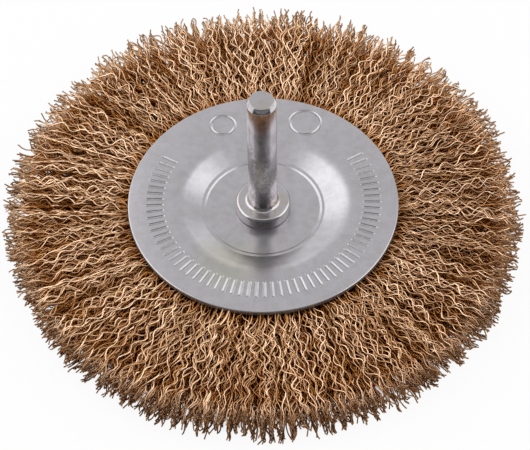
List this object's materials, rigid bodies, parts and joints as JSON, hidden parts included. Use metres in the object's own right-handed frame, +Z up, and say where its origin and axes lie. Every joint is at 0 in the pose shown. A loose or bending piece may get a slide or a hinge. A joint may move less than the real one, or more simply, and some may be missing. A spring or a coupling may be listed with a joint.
{
  "type": "wire wheel brush",
  "caption": "Round brush of crimped wires clamped between two dished plates, on a short straight shank for a drill chuck.",
  "frame": {"origin": "on the shank's axis, at the level of the lowest wire tips, which the brush rests on", "axes": "+Z up along the shank, away from the brush; +X and +Y are any two radial directions, with +X through the middle of the first bunch of wires"},
  "size_m": [0.106, 0.106, 0.0394],
  "materials": {
    "turned_steel": "turned, lightly stained",
    "plated_sheet": "satin zinc plate",
    "ring_steel": "plain drawn",
    "coated_wire": "dull brass-coated steel wire"
  },
  "bodies": {
    "root": {"spindle": "turned_steel", "front_plate": "plated_sheet", "back_plate": "plated_sheet", "retaining_ring": "ring_steel", "wire_bunch_01": "coated_wire", "wire_bunch_02": "coated_wire", "wire_bunch_03": "coated_wire", "wire_bunch_04": "coated_wire", "wire_bunch_05": "coated_wire", "wire_bunch_06": "coated_wire", "wire_bunch_07": "coated_wire", "wire_bunch_08": "coated_wire", "wire_bunch_09": "coated_wire", "wire_bunch_10": "coated_wire", "wire_bunch_11": "coated_wire", "wire_bunch_12": "coated_wire", "wire_bunch_13": "coated_wire", "wire_bunch_14": "coated_wire", "wire_bunch_15": "coated_wire", "wire_bunch_16": "coated_wire"}
  },
  "joints": []
}
